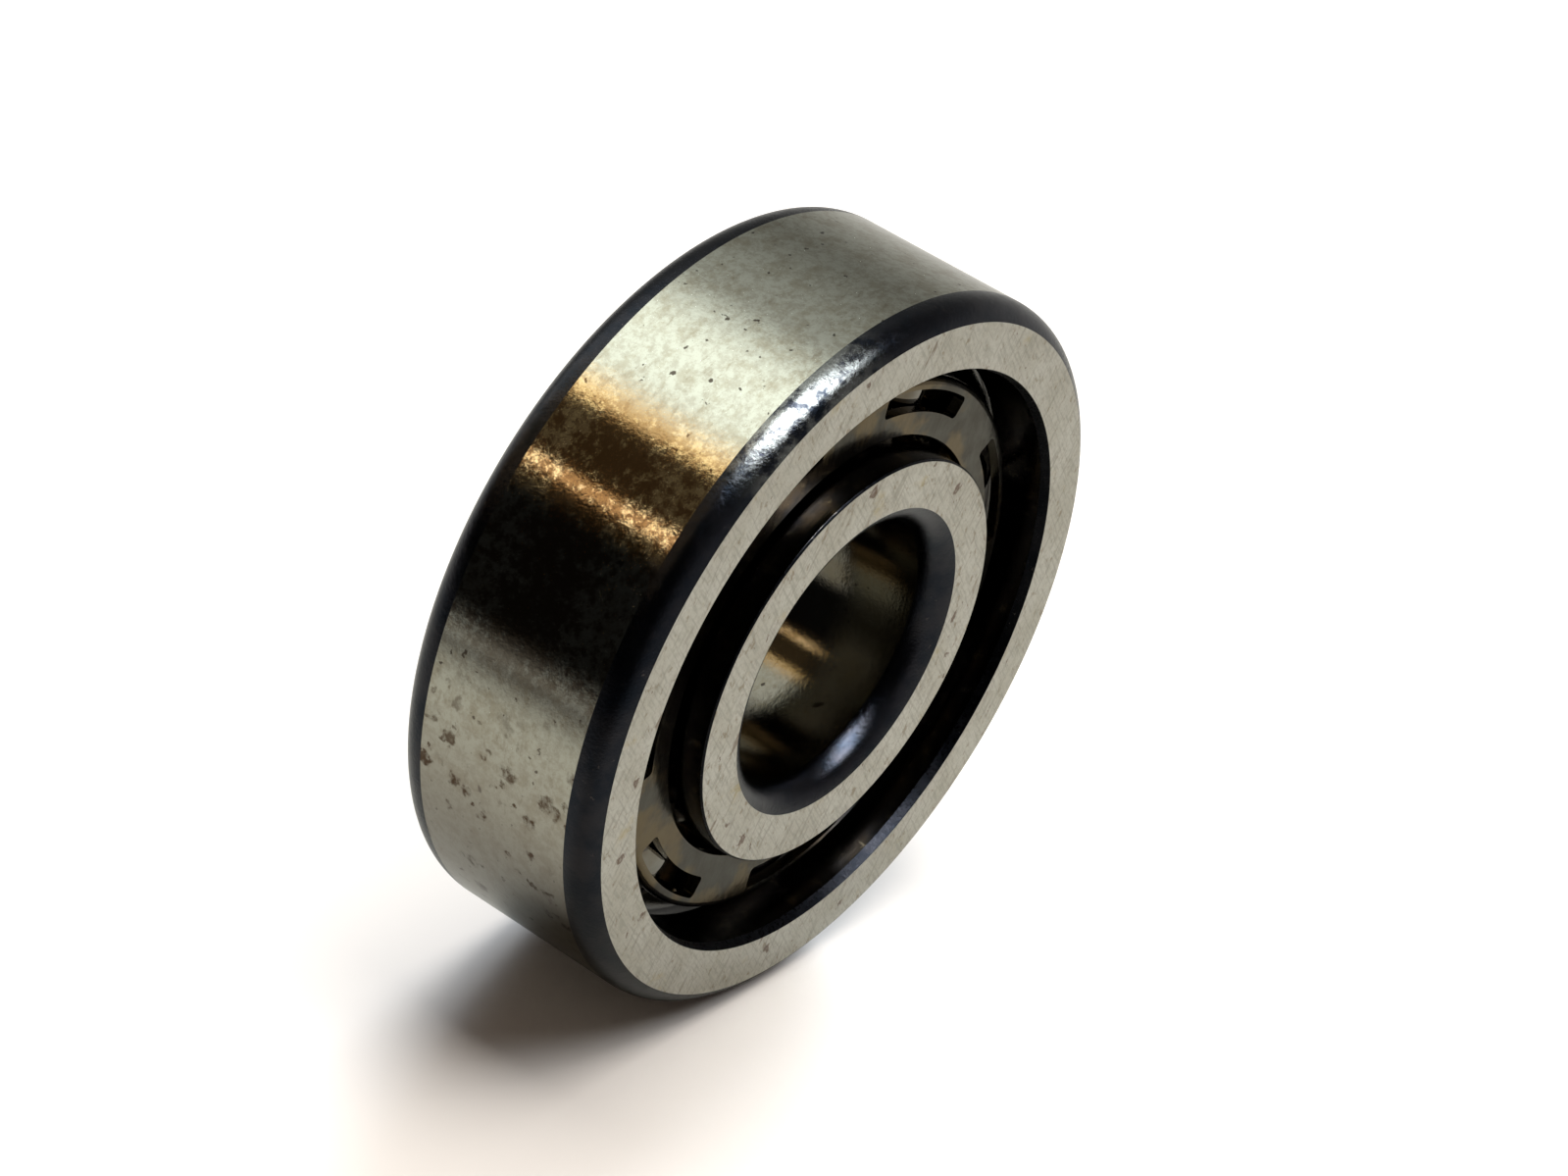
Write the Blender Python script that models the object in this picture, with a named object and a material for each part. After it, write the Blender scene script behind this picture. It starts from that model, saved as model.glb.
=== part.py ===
"""Single-row angular contact ball bearing, 12 x 32 x 10 mm, standing on its rim.

The bearing axis is world Y, +Z is up and the origin is on the axis at the middle of the outer ring's width.
The outer ring's high shoulder is on the -Y side and its relieved shoulder is on the +Y side.
Lengths are in metres. A turned outline is a list of (radius, place along Y) points.
"""

import math

import bmesh
import bpy
from mathutils import Matrix, Vector

MM = 0.001

# Boundary sizes of the bearing.
BORE_RADIUS = 6.0 * MM
OUTSIDE_RADIUS = 16.0 * MM
RING_WIDTH = 10.0 * MM
INNER_RING_OFFSET = 0.13 * MM  # the inner ring sits this far towards +Y until the bearing is loaded

# Balls and raceways.
BALL_COUNT = 7
BALL_RADIUS = 5.953 / 2 * MM
PITCH_RADIUS = 11.0 * MM
FIRST_BALL_ANGLE = math.radians(20.5)
CONTACT_ANGLE = math.radians(25.0)
GROOVE_RADIUS = 3.10 * MM
RUNNING_GAP = 0.05 * MM

# Outer ring.
OUTER_SHOULDER_RADIUS = 13.05 * MM
OUTER_FACE_EDGE_RADIUS = 13.20 * MM
OUTER_EDGE_BREAK = 0.41 * MM
RELIEF_RADIUS = 13.99 * MM
RELIEF_MOUTH_RADIUS = 14.15 * MM
RELIEF_FACE_RADIUS = 14.40 * MM
OUTER_CORNER_RADIAL = 0.76 * MM
OUTER_CORNER_AXIAL = 1.28 * MM

# Inner ring.
INNER_SHOULDER_RADIUS = 9.13 * MM
INNER_EDGE_BREAK = 0.08 * MM
BORE_CORNER_RADIAL = 0.98 * MM
BORE_CORNER_AXIAL = 1.20 * MM

CORNER_BULGE = 0.16  # how far a rounded ring corner stands out, as a share of its chord

# Cage, pressed from sheet.
SHEET = 0.5 * MM
FLANGE_FRONT = -3.55 * MM
FLANGE_INNER_RADIUS = 9.56 * MM
SKIRT_OUTER_RADIUS = 12.10 * MM
BEND_RADIUS = 0.35 * MM
LIP_RADIUS = 12.65 * MM
LIP_BACK = 3.85 * MM
SLOT_INNER_RADIUS = 10.60 * MM
SLOT_ANGLE = math.radians(30.8)
SLOT_CORNER = 0.22 * MM
WINDOW_HALF_WIDTH = 3.10 * MM
WINDOW_HALF_LENGTH = 3.10 * MM
WINDOW_CORNER = 0.8 * MM
WINDOW_CUT_START = 10.8 * MM
WINDOW_CUT_END = 12.7 * MM

# How finely curves are divided.
OUTER_RING_STEPS = 48  # its flats are wide enough for the ring to stand on one
INNER_RING_STEPS = 72
CAGE_STEPS = 84
GROOVE_STEPS = 10
CORNER_STEPS = 4
BEND_STEPS = 4
BALL_SEGMENTS = 20
BALL_RINGS = 10

HALF_WIDTH = RING_WIDTH / 2
SKIRT_INNER_RADIUS = SKIRT_OUTER_RADIUS - SHEET
FLANGE_BACK = FLANGE_FRONT + SHEET


def clear_scene():
    """Removes every object of the startup scene."""
    for obj in list(bpy.data.objects):
        bpy.data.objects.remove(obj, do_unlink=True)


def steel(name, colour, roughness):
    """A metallic material of one colour."""
    material = bpy.data.materials.new(name)
    material.use_nodes = True
    shader = material.node_tree.nodes["Principled BSDF"]
    shader.inputs["Base Color"].default_value = (*colour, 1.0)
    shader.inputs["Metallic"].default_value = 1.0
    shader.inputs["Roughness"].default_value = roughness
    return material


def add_object(name, mesh, material=None):
    """Links a mesh into the scene as a named object."""
    obj = bpy.data.objects.new(name, mesh)
    bpy.context.scene.collection.objects.link(obj)
    if material is not None and not mesh.materials:
        mesh.materials.append(material)
    return obj


def mesh_from(bm, name):
    """Turns an edit mesh into a smooth-shaded mesh that faces out."""
    bmesh.ops.recalc_face_normals(bm, faces=bm.faces)
    mesh = bpy.data.meshes.new(name)
    bm.to_mesh(mesh)
    bm.free()
    mesh.shade_smooth()
    mesh.set_sharp_from_angle(angle=math.radians(20))
    return mesh


def turned_mesh(name, outline, steps):
    """Spins a closed outline round the Y axis, with a flat facet at the bottom."""
    bm = bmesh.new()
    points = [bm.verts.new((radius, along, 0.0)) for radius, along in outline]
    edges = [bm.edges.new((points[i - 1], points[i])) for i in range(len(points))]
    half_step = Matrix.Rotation(math.pi / steps, 3, "Y")
    bmesh.ops.rotate(bm, cent=(0, 0, 0), matrix=half_step, verts=bm.verts)
    bmesh.ops.spin(
        bm,
        geom=points + edges,
        cent=(0, 0, 0),
        axis=(0, 1, 0),
        angle=math.tau,
        steps=steps,
        use_merge=True,
    )
    return mesh_from(bm, name)


def arc(centre, radius, start, end, steps):
    """Points of a circular arc from one angle to another, both ends included."""
    angles = [start + (end - start) * i / steps for i in range(steps + 1)]
    return [(centre[0] + radius * math.cos(a), centre[1] + radius * math.sin(a)) for a in angles]


def bulged(start, end, away_from, steps=CORNER_STEPS):
    """Points of a shallow parabolic bulge between two points, on the side away from a third."""
    start, end, away_from = Vector(start), Vector(end), Vector(away_from)
    chord = end - start
    across = Vector((chord.y, -chord.x)) * CORNER_BULGE
    if across.dot(start - away_from) < 0:
        across = -across
    shares = [i / steps for i in range(steps + 1)]
    return [tuple(start + chord * t + across * 4 * t * (1 - t)) for t in shares]


def groove_centre(side):
    """Centre of a raceway's arc: side is 1 for the outer ring and -1 for the inner ring.

    The arc's centre is past the ball's centre on the contact line, so the ball meets the raceway at the
    contact angle, where only the running gap is left.
    """
    shift = GROOVE_RADIUS - BALL_RADIUS - RUNNING_GAP
    radius = PITCH_RADIUS - side * shift * math.cos(CONTACT_ANGLE)
    return radius, side * shift * math.sin(CONTACT_ANGLE)


def groove_angle(centre, radius):
    """Angle, from the radial direction, at which a raceway's arc reaches a given radius."""
    return math.acos(abs(radius - centre[0]) / GROOVE_RADIUS)


def outer_ring_outline():
    """Outline of the outer ring, from its -Y face round the outside and back through the raceway."""
    corner_radius = OUTSIDE_RADIUS - OUTER_CORNER_RADIAL
    corner_along = HALF_WIDTH - OUTER_CORNER_AXIAL
    middle = (OUTER_SHOULDER_RADIUS, 0.0)
    near_corner = bulged((corner_radius, -HALF_WIDTH), (OUTSIDE_RADIUS, -corner_along), middle)
    far_corner = bulged((OUTSIDE_RADIUS, corner_along), (corner_radius, HALF_WIDTH), middle)
    relief = [
        (RELIEF_FACE_RADIUS, HALF_WIDTH),
        (RELIEF_MOUTH_RADIUS, HALF_WIDTH - (RELIEF_FACE_RADIUS - RELIEF_MOUTH_RADIUS)),
    ]
    centre = groove_centre(1)
    raceway = arc(
        centre,
        GROOVE_RADIUS,
        groove_angle(centre, RELIEF_RADIUS),
        -groove_angle(centre, OUTER_SHOULDER_RADIUS),
        GROOVE_STEPS,
    )
    shoulder = [
        (OUTER_SHOULDER_RADIUS, -HALF_WIDTH + OUTER_EDGE_BREAK),
        (OUTER_FACE_EDGE_RADIUS, -HALF_WIDTH),
    ]
    return near_corner + far_corner + relief + raceway + shoulder


def inner_ring_outline():
    """Outline of the inner ring about its own middle, equal on both sides but for the raceway's centre."""
    bore_corner_radius = BORE_RADIUS + BORE_CORNER_RADIAL
    bore_corner_along = HALF_WIDTH - BORE_CORNER_AXIAL
    middle = (INNER_SHOULDER_RADIUS, 0.0)
    far_corner = bulged((bore_corner_radius, HALF_WIDTH), (BORE_RADIUS, bore_corner_along), middle)
    near_corner = bulged((BORE_RADIUS, -bore_corner_along), (bore_corner_radius, -HALF_WIDTH), middle)
    near_shoulder = [
        (INNER_SHOULDER_RADIUS - INNER_EDGE_BREAK, -HALF_WIDTH),
        (INNER_SHOULDER_RADIUS, -HALF_WIDTH + INNER_EDGE_BREAK),
    ]
    far_shoulder = [
        (INNER_SHOULDER_RADIUS, HALF_WIDTH - INNER_EDGE_BREAK),
        (INNER_SHOULDER_RADIUS - INNER_EDGE_BREAK, HALF_WIDTH),
    ]
    centre = groove_centre(-1)
    reach = groove_angle(centre, INNER_SHOULDER_RADIUS)
    raceway = arc(centre, GROOVE_RADIUS, math.pi + reach, math.pi - reach, GROOVE_STEPS)
    raceway = [(radius, along - INNER_RING_OFFSET) for radius, along in raceway]
    return far_corner + near_corner + near_shoulder + raceway + far_shoulder


def cage_outline():
    """Outline of the cage's bent sheet: front flange, skirt and back lip."""
    front_bend = arc(
        (SKIRT_OUTER_RADIUS - BEND_RADIUS, FLANGE_FRONT + BEND_RADIUS),
        BEND_RADIUS,
        -math.pi / 2,
        0.0,
        BEND_STEPS,
    )
    back_bend = arc(
        (SKIRT_INNER_RADIUS + BEND_RADIUS, LIP_BACK - BEND_RADIUS),
        BEND_RADIUS,
        math.pi / 2,
        math.pi,
        BEND_STEPS,
    )
    lip = [
        (SKIRT_OUTER_RADIUS, LIP_BACK - SHEET),
        (LIP_RADIUS, LIP_BACK - SHEET),
        (LIP_RADIUS, LIP_BACK),
    ]
    flange_back = [
        (SKIRT_INNER_RADIUS, FLANGE_BACK),
        (FLANGE_INNER_RADIUS, FLANGE_BACK),
        (FLANGE_INNER_RADIUS, FLANGE_FRONT),
    ]
    return front_bend + lip + back_bend + flange_back


def ball_angle(index):
    """Angle of a ball round the axis, from +X towards +Z."""
    return FIRST_BALL_ANGLE + math.tau * index / BALL_COUNT


def radial(angle):
    """Unit vector away from the bearing axis, at an angle from +X towards +Z."""
    return Vector((math.cos(angle), 0.0, math.sin(angle)))


def copies_round_axis(bm, geometry_maker):
    """Fills an edit mesh with one piece for each ball, turned to the ball's angle."""
    for index in range(BALL_COUNT):
        turn = Matrix.Rotation(-ball_angle(index), 4, "Y")
        bmesh.ops.transform(bm, matrix=turn, verts=geometry_maker(bm))


def slot_cutter_piece(bm):
    """A sector-shaped block at +X that cuts one slot through the flange. Returns its corners."""
    reach = SHEET
    bottom = FLANGE_FRONT - reach
    height = SHEET + 2 * reach
    half = SLOT_ANGLE / 2
    inside = arc((0.0, 0.0), SLOT_INNER_RADIUS, -half, half, BEND_STEPS)
    outside = arc((0.0, 0.0), SKIRT_INNER_RADIUS, half, -half, BEND_STEPS)
    corners = [bm.verts.new((x, bottom, z)) for x, z in inside + outside]
    face = bm.faces.new(corners)
    extruded = bmesh.ops.extrude_face_region(bm, geom=[face])
    top = [item for item in extruded["geom"] if isinstance(item, bmesh.types.BMVert)]
    bmesh.ops.translate(bm, vec=(0, height, 0), verts=top)
    ends = (corners[0], corners[BEND_STEPS], corners[BEND_STEPS + 1], corners[-1])
    upright = [edge for vert in ends for edge in vert.link_edges if edge.other_vert(vert) in top]
    rounded = bmesh.ops.bevel(
        bm, geom=upright, offset=SLOT_CORNER, segments=3, profile=0.5, affect="EDGES"
    )
    return piece_of(rounded["verts"][0])


def window_cutter_piece(bm):
    """A rounded block at +X that cuts one ball's window through the skirt. Returns its corners."""
    depth = WINDOW_CUT_END - WINDOW_CUT_START
    size = Matrix.Diagonal((depth, 2 * WINDOW_HALF_LENGTH, 2 * WINDOW_HALF_WIDTH, 1.0))
    place = Matrix.Translation((WINDOW_CUT_START + depth / 2, 0.0, 0.0))
    cube = bmesh.ops.create_cube(bm, size=1.0, matrix=place @ size)
    along_x = [
        edge
        for edge in {edge for vert in cube["verts"] for edge in vert.link_edges}
        if abs(edge.verts[0].co.x - edge.verts[1].co.x) > depth / 2
    ]
    rounded = bmesh.ops.bevel(
        bm, geom=along_x, offset=WINDOW_CORNER, segments=4, profile=0.5, affect="EDGES"
    )
    return piece_of(rounded["verts"][0])


def piece_of(start):
    """Every corner of the separate piece that one corner belongs to."""
    found = {start}
    waiting = [start]
    while waiting:
        vert = waiting.pop()
        for edge in vert.link_edges:
            other = edge.other_vert(vert)
            if other not in found:
                found.add(other)
                waiting.append(other)
    return list(found)


def add_cutter(name, geometry_maker, target):
    """Cuts seven copies of a piece out of an object, with an exact Boolean."""
    bm = bmesh.new()
    copies_round_axis(bm, geometry_maker)
    cutter = add_object(name, mesh_from(bm, name))
    cutter.hide_render = True
    cutter.display_type = "WIRE"
    cutter.parent = target
    modifier = target.modifiers.new(name, "BOOLEAN")
    modifier.operation = "DIFFERENCE"
    modifier.solver = "EXACT"
    modifier.object = cutter


def build_outer_ring(material):
    """The ring that a housing holds."""
    mesh = turned_mesh("outer_ring", outer_ring_outline(), OUTER_RING_STEPS)
    return add_object("outer_ring", mesh, material)


def build_inner_ring(material):
    """The ring that a shaft turns, a little proud of the outer ring on the +Y side."""
    mesh = turned_mesh("inner_ring", inner_ring_outline(), INNER_RING_STEPS)
    ring = add_object("inner_ring", mesh, material)
    ring.location.y = INNER_RING_OFFSET
    return ring


def build_cage(material):
    """The pressed cage, with a flange slot and a skirt window at each ball."""
    cage = add_object("cage", turned_mesh("cage", cage_outline(), CAGE_STEPS), material)
    add_cutter("cage_slots", slot_cutter_piece, cage)
    add_cutter("cage_windows", window_cutter_piece, cage)
    return cage


def build_balls(material, cage):
    """Seven balls in the cage. Each one's local Z is the axis that it rolls about."""
    bm = bmesh.new()
    bmesh.ops.create_uvsphere(
        bm, u_segments=BALL_SEGMENTS, v_segments=BALL_RINGS, radius=BALL_RADIUS
    )
    mesh = mesh_from(bm, "ball")
    for index in range(BALL_COUNT):
        away = radial(ball_angle(index))
        rolling_axis = Vector((0, math.cos(CONTACT_ANGLE), 0)) + away * math.sin(CONTACT_ANGLE)
        ball = add_object(f"ball_{index + 1}", mesh, material)
        ball.location = away * PITCH_RADIUS
        ball.rotation_mode = "QUATERNION"
        ball.rotation_quaternion = rolling_axis.to_track_quat("Z", "Y")
        ball.parent = cage


def main():
    """Builds the whole bearing."""
    clear_scene()
    ring_steel = steel("ground_ring_steel", (0.56, 0.55, 0.52), 0.32)
    inner_steel = steel("ground_inner_ring_steel", (0.56, 0.55, 0.52), 0.30)
    cage_steel = steel("pressed_cage_steel", (0.60, 0.59, 0.56), 0.25)
    ball_steel = steel("polished_ball_steel", (0.62, 0.62, 0.63), 0.08)
    build_outer_ring(ring_steel)
    build_inner_ring(inner_steel)
    cage = build_cage(cage_steel)
    build_balls(ball_steel, cage)


main()
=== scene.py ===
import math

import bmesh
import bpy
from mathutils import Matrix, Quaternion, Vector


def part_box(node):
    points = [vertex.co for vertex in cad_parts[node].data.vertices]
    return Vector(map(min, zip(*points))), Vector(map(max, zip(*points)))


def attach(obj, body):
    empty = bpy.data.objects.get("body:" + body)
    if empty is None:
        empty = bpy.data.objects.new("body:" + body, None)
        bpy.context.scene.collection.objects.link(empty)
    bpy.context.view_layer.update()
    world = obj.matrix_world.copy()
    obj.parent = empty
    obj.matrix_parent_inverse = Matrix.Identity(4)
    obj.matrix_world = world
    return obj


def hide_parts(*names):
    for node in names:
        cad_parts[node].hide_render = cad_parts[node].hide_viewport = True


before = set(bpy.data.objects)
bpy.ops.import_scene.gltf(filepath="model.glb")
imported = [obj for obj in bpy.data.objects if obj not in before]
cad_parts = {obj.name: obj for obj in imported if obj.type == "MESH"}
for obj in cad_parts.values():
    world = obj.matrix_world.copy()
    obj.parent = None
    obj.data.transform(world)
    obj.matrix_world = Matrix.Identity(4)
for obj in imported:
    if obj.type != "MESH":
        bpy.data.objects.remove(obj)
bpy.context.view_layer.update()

# Looks of a 12 x 32 x 10 mm angular contact ball bearing standing on its rim.
# The bearing axis is Y, +Z is up, and the origin is on the axis at the middle of the outer ring's width.
# Lengths are in metres. An outline is a list of (radius, place along Y, zone) points, and a zone is the
# index of the material on the surface that starts at that point.

MM = 0.001

# The bearing's own sizes, as in its CAD model.
BORE_RADIUS = 6.0 * MM
OUTSIDE_RADIUS = 16.0 * MM
BALL_DIAMETER = 5.953 * MM
PITCH_RADIUS = 11.0 * MM
CONTACT_ANGLE = math.radians(25.0)
GROOVE_RADIUS = 3.10 * MM
RUNNING_GAP = 0.05 * MM
OUTER_SHOULDER_RADIUS = 13.05 * MM
OUTER_FACE_EDGE_RADIUS = 13.20 * MM
OUTER_EDGE_BREAK = 0.41 * MM
RELIEF_RADIUS = 13.99 * MM
RELIEF_MOUTH_RADIUS = 14.15 * MM
RELIEF_FACE_RADIUS = 14.40 * MM
OUTER_CORNER_RADIAL = 0.76 * MM
OUTER_CORNER_AXIAL = 1.28 * MM
INNER_SHOULDER_RADIUS = 9.13 * MM
INNER_EDGE_BREAK = 0.08 * MM
BORE_CORNER_RADIAL = 0.98 * MM
BORE_CORNER_AXIAL = 1.20 * MM
CORNER_BULGE = 0.16
SHEET = 0.5 * MM
FLANGE_FRONT = -3.55 * MM
FLANGE_INNER_RADIUS = 9.56 * MM
SKIRT_OUTER_RADIUS = 12.10 * MM
BEND_RADIUS = 0.35 * MM
LIP_RADIUS = 12.65 * MM
LIP_BACK = 3.85 * MM
SLOT_INNER_RADIUS = 10.60 * MM
SLOT_ANGLE = math.radians(30.8)
SLOT_CORNER = 0.22 * MM
WINDOW_HALF_WIDTH = 3.10 * MM
WINDOW_HALF_LENGTH = 3.10 * MM
WINDOW_CORNER = 0.8 * MM
WINDOW_CUT_START = 10.8 * MM
WINDOW_CUT_END = 12.7 * MM
BALL_RADIUS = BALL_DIAMETER / 2
SKIRT_INNER_RADIUS = SKIRT_OUTER_RADIUS - SHEET
FLANGE_BACK = FLANGE_FRONT + SHEET

# How finely the visible surfaces are divided.
RING_STEPS = 360
CAGE_STEPS = 252
GROOVE_STEPS = 40
CORNER_STEPS = 16
BEND_STEPS = 8
EDGE_ROUNDING = 0.035 * MM
EDGE_STEPS = 4
SHARP_TURN = math.radians(14)
SPARE_REACH = 0.2
MOST_OF_FLAT = 0.3
GUARD_REACH = 1.6
SLOT_STEPS = 24
SLOT_CORNER_STEPS = 6
WINDOW_CORNER_STEPS = 8
CAGE_SHARP_ANGLE = math.radians(35)
BALL_DIVISIONS = 5
FLOOR_STEPS = 128

BALLS = sorted(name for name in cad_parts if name.startswith("ball_"))


# ---------------------------------------------------------------- shapes

def arc(centre, radius, start, end, steps):
    """Points of a circular arc from one angle to another, both ends included."""
    angles = [start + (end - start) * i / steps for i in range(steps + 1)]
    return [(centre[0] + radius * math.cos(a), centre[1] + radius * math.sin(a)) for a in angles]


def bulged(start, end, away_from):
    """Points of a shallow parabolic bulge between two points, on the side away from a third."""
    start, end, away_from = Vector(start), Vector(end), Vector(away_from)
    chord = end - start
    across = Vector((chord.y, -chord.x)) * CORNER_BULGE
    if across.dot(start - away_from) < 0:
        across = -across
    shares = [i / CORNER_STEPS for i in range(CORNER_STEPS + 1)]
    return [tuple(start + chord * t + across * 4 * t * (1 - t)) for t in shares]


def zoned(points, zone, next_zone=None):
    """Adds a zone to each point. The last point starts the next zone."""
    found = [(radius, along, zone) for radius, along in points]
    if next_zone is not None:
        found[-1] = (*found[-1][:2], next_zone)
    return found


def rounded(outline, radius=EDGE_ROUNDING):
    """Rounds each sharp corner of a closed outline, and adds a point beside it that keeps flats flat."""
    found = []
    for i, (r, y, zone) in enumerate(outline):
        before, after = Vector(outline[i - 1][:2]), Vector(outline[(i + 1) % len(outline)][:2])
        here = Vector((r, y))
        back, on = before - here, after - here
        turn = math.pi - back.angle(on)
        if turn < SHARP_TURN:
            found.append((r, y, zone))
            continue
        most = MOST_OF_FLAT * min(back.length, on.length)
        reach = min(radius * (math.tan(turn / 2) + SPARE_REACH), most)
        start, end = here + back.normalized() * reach, here + on.normalized() * reach
        zone_before = outline[i - 1][2]
        found.append((*(here + back.normalized() * reach * GUARD_REACH), zone_before))
        for step in range(EDGE_STEPS + 1):
            t = step / EDGE_STEPS
            point = start * (1 - t) ** 2 + here * 2 * t * (1 - t) + end * t * t
            found.append((*point, zone_before if t < 0.5 else zone))
        found.append((*(here + on.normalized() * reach * GUARD_REACH), zone))
    return found


def turned_mesh(name, outline, steps, shift=0.0):
    """Spins a closed outline round the Y axis into one closed mesh, with a material index for each zone."""
    count = len(outline)
    points = []
    for step in range(steps):
        angle = math.tau * step / steps
        cosine, sine = math.cos(angle), math.sin(angle)
        points += [(r * cosine, y + shift, r * sine) for r, y, _ in outline]
    faces = []
    zones = []
    for step in range(steps):
        this, other = step * count, (step + 1) % steps * count
        for i in range(count):
            j = (i + 1) % count
            faces.append((this + i, this + j, other + j, other + i))
            zones.append(outline[i][2])
    mesh = bpy.data.meshes.new(name)
    mesh.from_pydata(points, [], faces)
    mesh.polygons.foreach_set("material_index", zones)
    bm = bmesh.new()
    bm.from_mesh(mesh)
    bmesh.ops.recalc_face_normals(bm, faces=bm.faces)
    bm.to_mesh(mesh)
    bm.free()
    mesh.shade_smooth()
    return mesh


def add_piece(name, mesh, materials, body, node):
    """Puts a mesh in the scene in place of its CAD node, riding on that node's body."""
    obj = bpy.data.objects.new(name, mesh)
    bpy.context.scene.collection.objects.link(obj)
    for material in materials:
        mesh.materials.append(material)
    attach(obj, body)
    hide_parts(node)
    return obj


def groove_centre(side):
    """Centre of a raceway's arc: side is 1 for the outer ring and -1 for the inner ring."""
    shift = GROOVE_RADIUS - BALL_RADIUS - RUNNING_GAP
    radius = PITCH_RADIUS - side * shift * math.cos(CONTACT_ANGLE)
    return radius, side * shift * math.sin(CONTACT_ANGLE)


def groove_angle(centre, radius):
    """Angle, from the radial direction, at which a raceway's arc reaches a given radius."""
    return math.acos(abs(radius - centre[0]) / GROOVE_RADIUS)


FACE, OUTSIDE, CORNER, LAND, RACEWAY, BREAK = range(6)


def outer_ring_outline(half_width):
    """Outline of the outer ring, from its -Y face round the outside and back through the raceway."""
    corner_radius = OUTSIDE_RADIUS - OUTER_CORNER_RADIAL
    corner_along = half_width - OUTER_CORNER_AXIAL
    middle = (OUTER_SHOULDER_RADIUS, 0.0)
    near_corner = bulged((corner_radius, -half_width), (OUTSIDE_RADIUS, -corner_along), middle)
    far_corner = bulged((OUTSIDE_RADIUS, corner_along), (corner_radius, half_width), middle)
    mouth = half_width - (RELIEF_FACE_RADIUS - RELIEF_MOUTH_RADIUS)
    centre = groove_centre(1)
    raceway = arc(
        centre,
        GROOVE_RADIUS,
        groove_angle(centre, RELIEF_RADIUS),
        -groove_angle(centre, OUTER_SHOULDER_RADIUS),
        GROOVE_STEPS,
    )
    outline = zoned(near_corner, CORNER, OUTSIDE)
    outline += zoned(far_corner, CORNER, FACE)
    outline += [(RELIEF_FACE_RADIUS, half_width, BREAK), (RELIEF_MOUTH_RADIUS, mouth, LAND)]
    outline += zoned(raceway, RACEWAY, LAND)
    outline += [
        (OUTER_SHOULDER_RADIUS, -half_width + OUTER_EDGE_BREAK, BREAK),
        (OUTER_FACE_EDGE_RADIUS, -half_width, FACE),
    ]
    return outline


def inner_ring_outline(half_width, shift):
    """Outline of the inner ring about its own middle, which is a shift towards +Y of the origin."""
    bore_corner_radius = BORE_RADIUS + BORE_CORNER_RADIAL
    bore_corner_along = half_width - BORE_CORNER_AXIAL
    middle = (INNER_SHOULDER_RADIUS, 0.0)
    far_corner = bulged((bore_corner_radius, half_width), (BORE_RADIUS, bore_corner_along), middle)
    near_corner = bulged((BORE_RADIUS, -bore_corner_along), (bore_corner_radius, -half_width), middle)
    centre = groove_centre(-1)
    reach = groove_angle(centre, INNER_SHOULDER_RADIUS)
    raceway = arc(centre, GROOVE_RADIUS, math.pi + reach, math.pi - reach, GROOVE_STEPS)
    raceway = [(radius, along - shift) for radius, along in raceway]
    outline = zoned(far_corner, CORNER, OUTSIDE)
    outline += zoned(near_corner, CORNER, FACE)
    outline += [
        (INNER_SHOULDER_RADIUS - INNER_EDGE_BREAK, -half_width, BREAK),
        (INNER_SHOULDER_RADIUS, -half_width + INNER_EDGE_BREAK, LAND),
    ]
    outline += zoned(raceway, RACEWAY, LAND)
    outline += [
        (INNER_SHOULDER_RADIUS, half_width - INNER_EDGE_BREAK, BREAK),
        (INNER_SHOULDER_RADIUS - INNER_EDGE_BREAK, half_width, FACE),
    ]
    return outline


def cage_outline():
    """Outline of the cage's bent sheet: front flange, skirt and back lip."""
    front_bend = arc(
        (SKIRT_OUTER_RADIUS - BEND_RADIUS, FLANGE_FRONT + BEND_RADIUS),
        BEND_RADIUS,
        -math.pi / 2,
        0.0,
        BEND_STEPS,
    )
    back_bend = arc(
        (SKIRT_INNER_RADIUS + BEND_RADIUS, LIP_BACK - BEND_RADIUS),
        BEND_RADIUS,
        math.pi / 2,
        math.pi,
        BEND_STEPS,
    )
    lip = [
        (SKIRT_OUTER_RADIUS, LIP_BACK - SHEET),
        (LIP_RADIUS, LIP_BACK - SHEET),
        (LIP_RADIUS, LIP_BACK),
    ]
    flange_back = [
        (SKIRT_INNER_RADIUS, FLANGE_BACK),
        (FLANGE_INNER_RADIUS, FLANGE_BACK),
        (FLANGE_INNER_RADIUS, FLANGE_FRONT),
    ]
    return zoned(front_bend + lip + back_bend + flange_back, 0)


def round_edges(bm, edges, radius, steps):
    """Rounds some edges of a block to a radius."""
    bmesh.ops.bevel(bm, geom=edges, offset=radius, segments=steps, profile=0.5, affect="EDGES")


def slot_block(bm):
    """A sector-shaped block at +X that cuts one slot through the flange."""
    half = SLOT_ANGLE / 2
    inside = arc((0.0, 0.0), SLOT_INNER_RADIUS, -half, half, SLOT_STEPS)
    outside = arc((0.0, 0.0), SKIRT_INNER_RADIUS, half, -half, SLOT_STEPS)
    corners = [bm.verts.new((x, FLANGE_FRONT - SHEET, z)) for x, z in inside + outside]
    top = bmesh.ops.extrude_face_region(bm, geom=[bm.faces.new(corners)])["geom"]
    top = [item for item in top if isinstance(item, bmesh.types.BMVert)]
    bmesh.ops.translate(bm, vec=(0, 3 * SHEET, 0), verts=top)
    ends = (corners[0], corners[SLOT_STEPS], corners[SLOT_STEPS + 1], corners[-1])
    upright = [edge for vert in ends for edge in vert.link_edges if edge.other_vert(vert) in top]
    round_edges(bm, upright, SLOT_CORNER, SLOT_CORNER_STEPS)


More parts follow.
